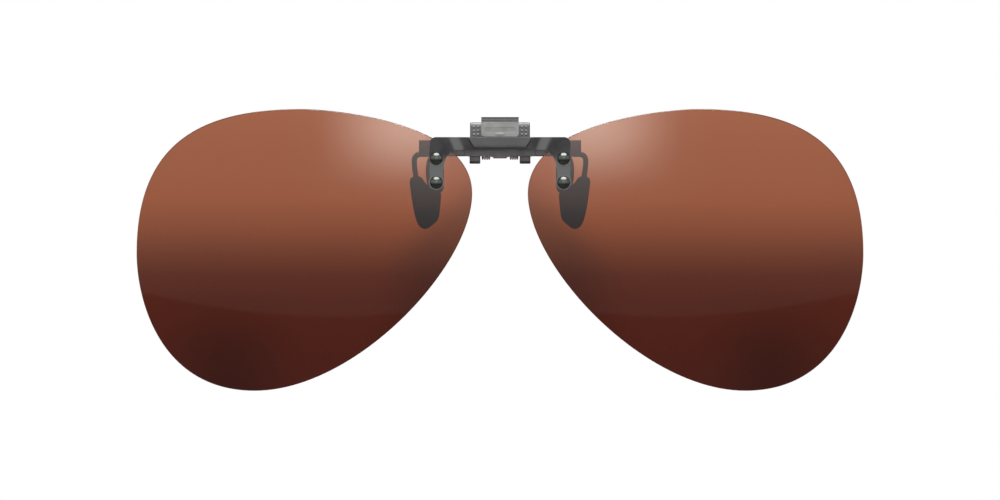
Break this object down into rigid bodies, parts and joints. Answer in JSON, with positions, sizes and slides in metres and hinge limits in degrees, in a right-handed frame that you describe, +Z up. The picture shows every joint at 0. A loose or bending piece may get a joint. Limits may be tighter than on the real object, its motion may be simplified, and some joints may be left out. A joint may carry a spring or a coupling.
{
  "type": "clip-on sunglasses",
  "caption": "Flip-up clip-on sunglasses: rimless brown aviator lenses riveted to a bar that hinges on a sprung clamp with rubber-padded claws.",
  "frame": {"origin": "midway between the front and the rear grip pads, at the middle of their faces, on the mid-plane", "axes": "+X across the face (to the right seen from the front), -Y the front, towards what the wearer looks at, +Z up"},
  "size_m": [0.1312, 0.0122, 0.0508],
  "materials": {
    "lens": "polished brown gradient tint",
    "gunmetal": "satin gunmetal",
    "clamp_metal": "satin dark grey",
    "black_chrome": "polished black nickel",
    "pale_grey": "satin pale grey",
    "spring_steel": "drawn wire",
    "nylon": "natural nylon",
    "rubber": "matte moulded rubber"
  },
  "bodies": {
    "clip_body": {"flip_hinge_pin": "spring_steel", "detent_leaf_spring": "spring_steel", "front_clamp": "clamp_metal", "thumb_pad": "pale_grey", "clamp_axle": "spring_steel", "torsion_spring_left": "spring_steel", "torsion_spring_right": "spring_steel", "claw_wire_front_left": "clamp_metal", "claw_wire_front_right": "clamp_metal", "grip_pad_front_left": "rubber", "grip_pad_front_right": "rubber"},
    "rear_lever": {"rear_clamp": "clamp_metal", "claw_wire_rear_left": "clamp_metal", "claw_wire_rear_right": "clamp_metal", "grip_pad_rear_left": "rubber", "grip_pad_rear_right": "rubber"},
    "lens_frame": {"lens_left": "lens", "lens_right": "lens", "lens_bar": "gunmetal", "lens_rivet_left_upper": "black_chrome", "lens_rivet_left_lower": "black_chrome", "lens_rivet_right_upper": "black_chrome", "lens_rivet_right_lower": "black_chrome", "lens_bush_left_upper": "nylon", "lens_bush_left_lower": "nylon", "lens_bush_right_upper": "nylon", "lens_bush_right_lower": "nylon", "backing_plate_left": "gunmetal", "backing_plate_right": "gunmetal"}
  },
  "joints": [
    {"name": "squeeze", "type": "hinge", "parent": "clip_body", "child": "rear_lever", "pos_m": [0, 0, 0.00945], "axis": [1, 0, 0], "range_deg": [0, 18], "stiffness_Nm_per_rad": 0.02, "springref_deg": -45.84, "deforming": ["torsion_spring_left", "torsion_spring_right"]},
    {"name": "flip", "type": "hinge", "parent": "clip_body", "child": "lens_frame", "pos_m": [0, -0.0041, 0.0114], "axis": [-1, 0, 0], "range_deg": [0, 90], "deforming": ["detent_leaf_spring"]}
  ]
}
